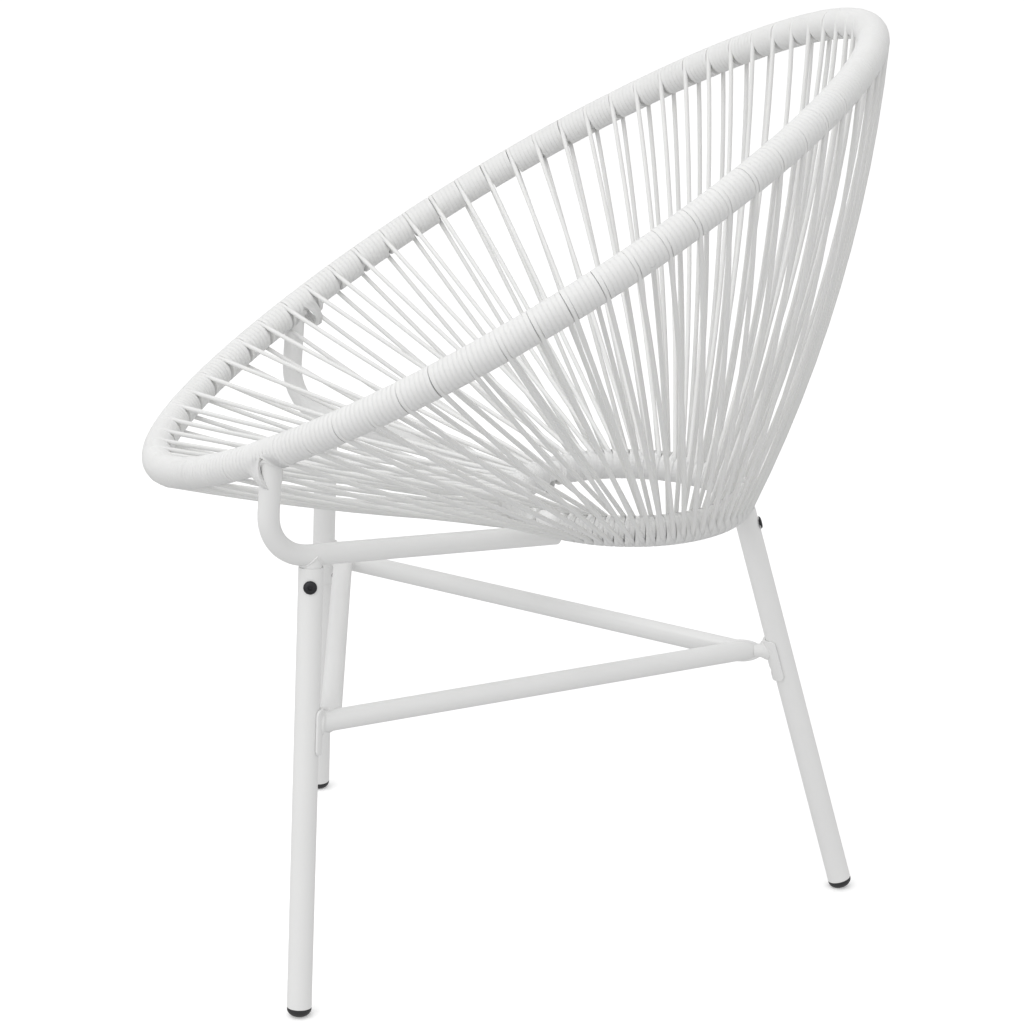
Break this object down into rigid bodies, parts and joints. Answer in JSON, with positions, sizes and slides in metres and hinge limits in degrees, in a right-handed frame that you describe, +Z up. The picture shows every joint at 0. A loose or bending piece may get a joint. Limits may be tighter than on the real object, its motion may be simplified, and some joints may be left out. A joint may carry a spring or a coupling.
{
  "type": "acapulco chair",
  "caption": "Tripod string lounge chair: tilted corded hoop and small ring joined by radiating cords, on bent rails, bolted tube legs and a triangular stretcher.",
  "frame": {"origin": "on the floor under the middle of the chair's bounding box", "axes": "+X to the sitter's left, -Y to the front of the seat, +Z up"},
  "size_m": [0.6922, 0.672, 0.8439],
  "materials": {
    "white_paint": "satin white powder coat",
    "vinyl_cord": "smooth white vinyl cord, soft sheen",
    "black_rubber": "matt",
    "black_steel": "black oxide, slightly glossy",
    "zinc_steel": "zinc plated"
  },
  "bodies": {
    "root": {"rim_hoop": "white_paint", "lower_ring": "white_paint", "support_rail_left": "white_paint", "support_rail_right": "white_paint", "leg_front_left": "white_paint", "leg_front_right": "white_paint", "leg_rear": "white_paint", "leg_stub_front_left": "white_paint", "leg_stub_front_right": "white_paint", "leg_stub_rear": "white_paint", "leg_bolt_front_left": "black_steel", "leg_bolt_front_right": "black_steel", "leg_bolt_rear": "black_steel", "leg_nut_front_left": "zinc_steel", "leg_nut_front_right": "zinc_steel", "leg_nut_rear": "zinc_steel", "foot_plug_front_left": "black_rubber", "foot_plug_front_right": "black_rubber", "foot_plug_rear": "black_rubber", "brace_saddle_front_left": "white_paint", "brace_saddle_front_right": "white_paint", "brace_saddle_rear": "white_paint", "brace_screw_front_left": "black_steel", "brace_screw_front_right": "black_steel", "brace_screw_rear": "black_steel", "brace_side_left": "white_paint", "brace_side_right": "white_paint", "brace_cross": "white_paint", "seat_cord_01": "vinyl_cord", "seat_cord_02": "vinyl_cord", "seat_cord_03": "vinyl_cord", "seat_cord_04": "vinyl_cord", "seat_cord_05": "vinyl_cord", "seat_cord_06": "vinyl_cord", "seat_cord_07": "vinyl_cord", "seat_cord_08": "vinyl_cord", "seat_cord_09": "vinyl_cord", "seat_cord_10": "vinyl_cord"}
  },
  "joints": []
}
